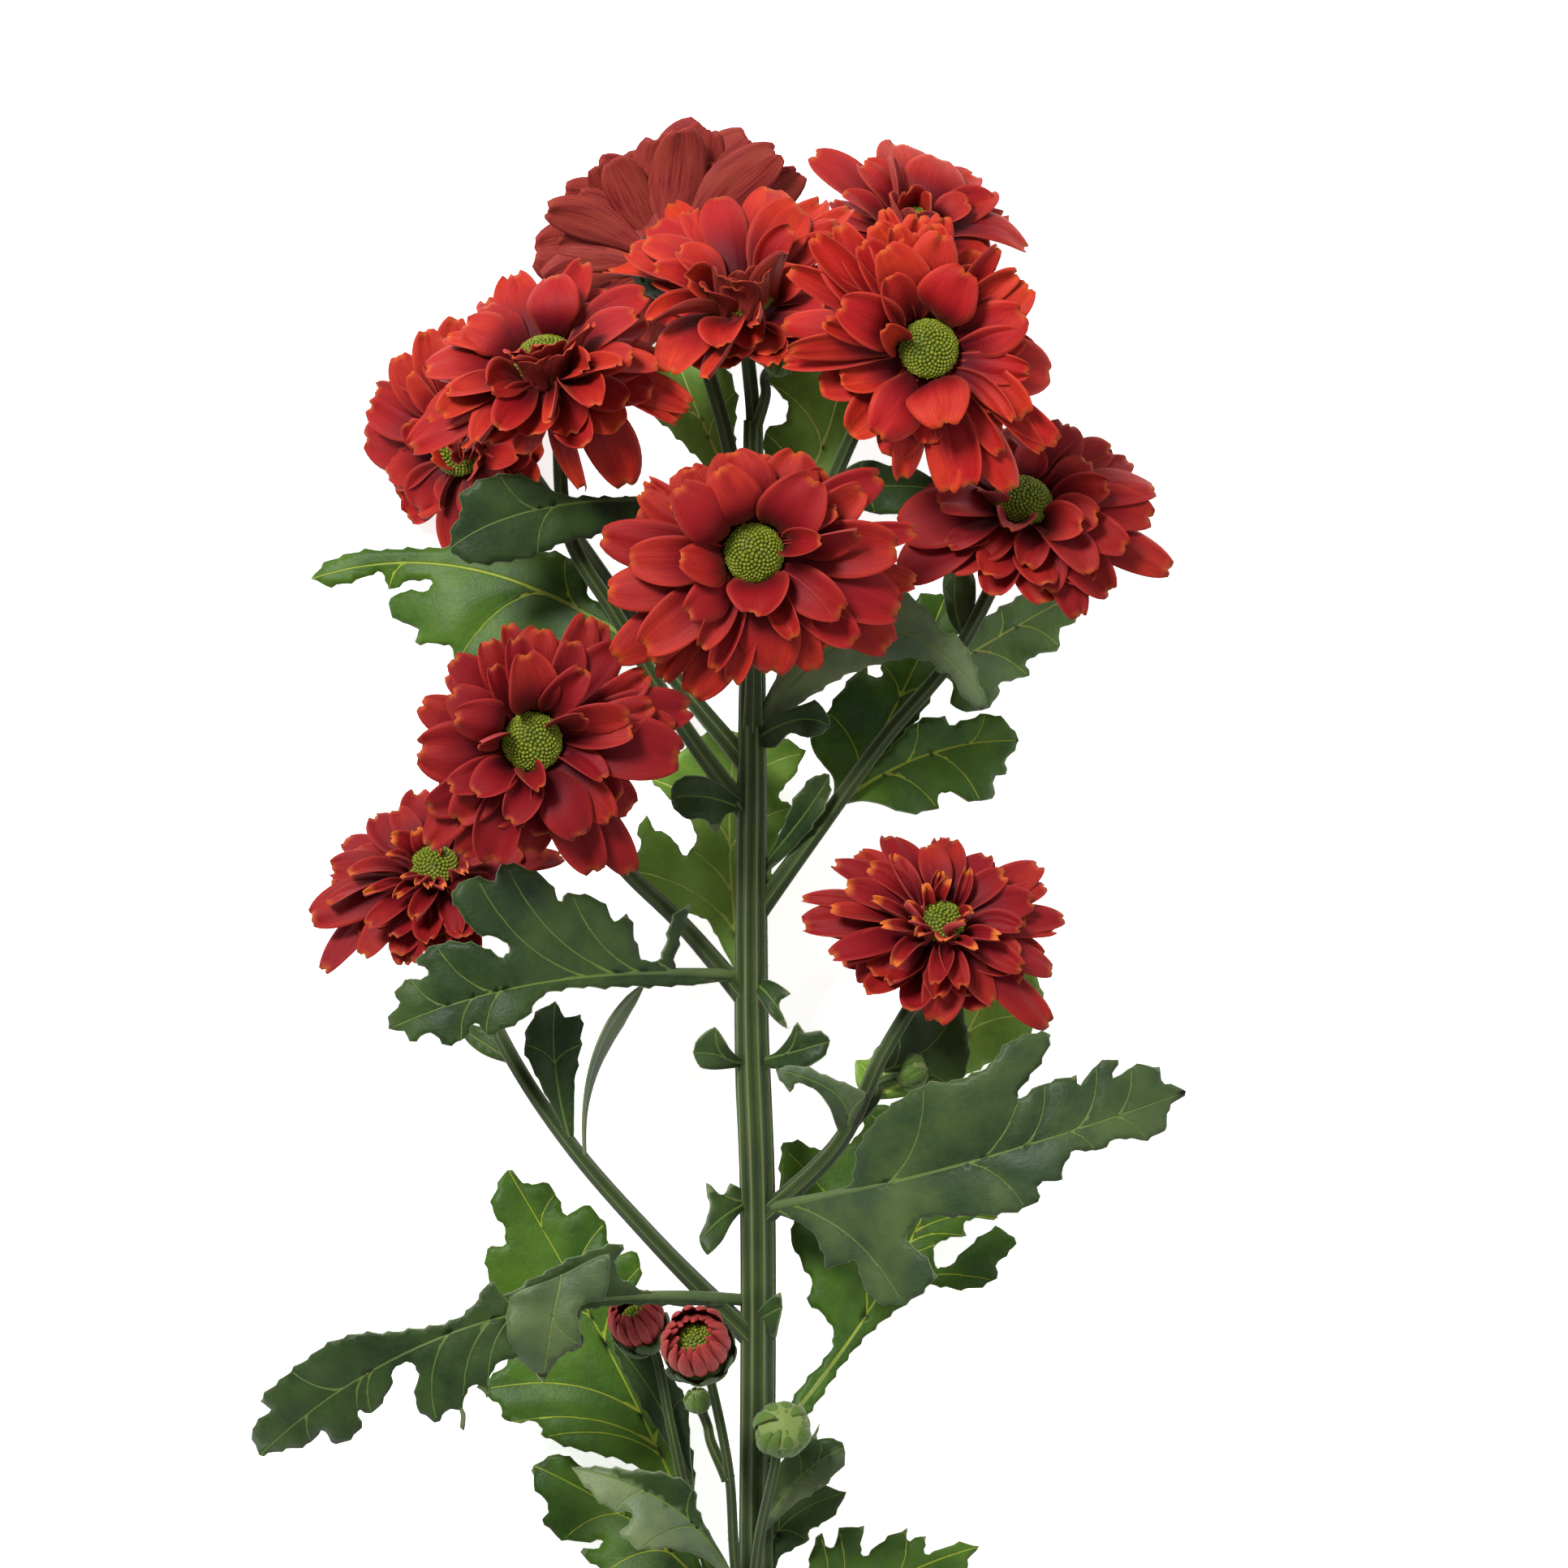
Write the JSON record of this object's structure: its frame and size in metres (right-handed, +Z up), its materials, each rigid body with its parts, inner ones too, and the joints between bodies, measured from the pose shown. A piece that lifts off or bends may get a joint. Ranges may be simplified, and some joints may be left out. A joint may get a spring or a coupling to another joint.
{
  "type": "cut santini chrysanthemum spray",
  "caption": "Cut spray of a small-flowered red chrysanthemum with lobed green leaves, lying on its side.",
  "frame": {"origin": "the flat spot under the cut end of the stem, on the surface that the spray lies on", "axes": "+Y along the stem from its cut end to the flowers, +X to the right seen from above, +Z up"},
  "size_m": [0.1494, 0.4048, 0.0752],
  "materials": {
    "stem": "matte",
    "leaf_dark": "satin",
    "leaf_light": "satin",
    "petal": "matte",
    "disc": "matte"
  },
  "bodies": {
    "root": {"stem": "stem", "petals_top_back_left": "petal", "disc_top_back_left": "disc", "petals_top_centre": "petal", "disc_top_centre": "disc", "petals_top_back_right": "petal", "disc_top_back_right": "disc", "petals_front_right": "petal", "disc_front_right": "disc", "petals_upper_left": "petal", "disc_upper_left": "disc", "petals_far_left": "petal", "disc_far_left": "disc", "petals_centre": "petal", "disc_centre": "disc", "petals_right": "petal", "disc_right": "disc", "petals_middle_left": "petal", "disc_middle_left": "disc", "petals_lower_left": "petal", "disc_lower_left": "disc", "petals_lower_right": "petal", "disc_lower_right": "disc", "petals_half_open_front": "petal", "disc_half_open_front": "disc", "petals_half_open_back": "petal", "disc_half_open_back": "disc", "leaf_shade_left": "leaf_dark", "leaf_top_dark": "leaf_dark", "leaf_centre_folded": "leaf_dark", "leaf_right_dark": "leaf_dark", "leaf_middle_left": "leaf_dark", "leaf_stalk_curl": "leaf_dark", "leaf_right_large": "leaf_dark", "leaf_stalk_dark": "leaf_dark", "leaf_stalk_leaf": "leaf_dark", "leaf_bud_shade": "leaf_dark", "leaf_lower_left_front": "leaf_dark", "leaf_bottom_left_front": "leaf_dark", "leaf_bottom_right_upper": "leaf_dark", "leaf_bottom_right": "leaf_dark", "leaf_stalk_blade": "leaf_dark", "leaf_upper_left": "leaf_light", "leaf_top_left": "leaf_light", "leaf_top_right": "leaf_light", "leaf_right_upper": "leaf_light", "leaf_right_side": "leaf_light", "leaf_right_inner": "leaf_light", "leaf_middle_back": "leaf_light", "leaf_right_back": "leaf_light", "leaf_right_hidden": "leaf_light", "leaf_lower_left_back": "leaf_light", "leaf_bottom_left": "leaf_light", "leaf_bottom_right_low": "leaf_light", "leaf_lowest_left": "leaf_light"}
  },
  "joints": []
}
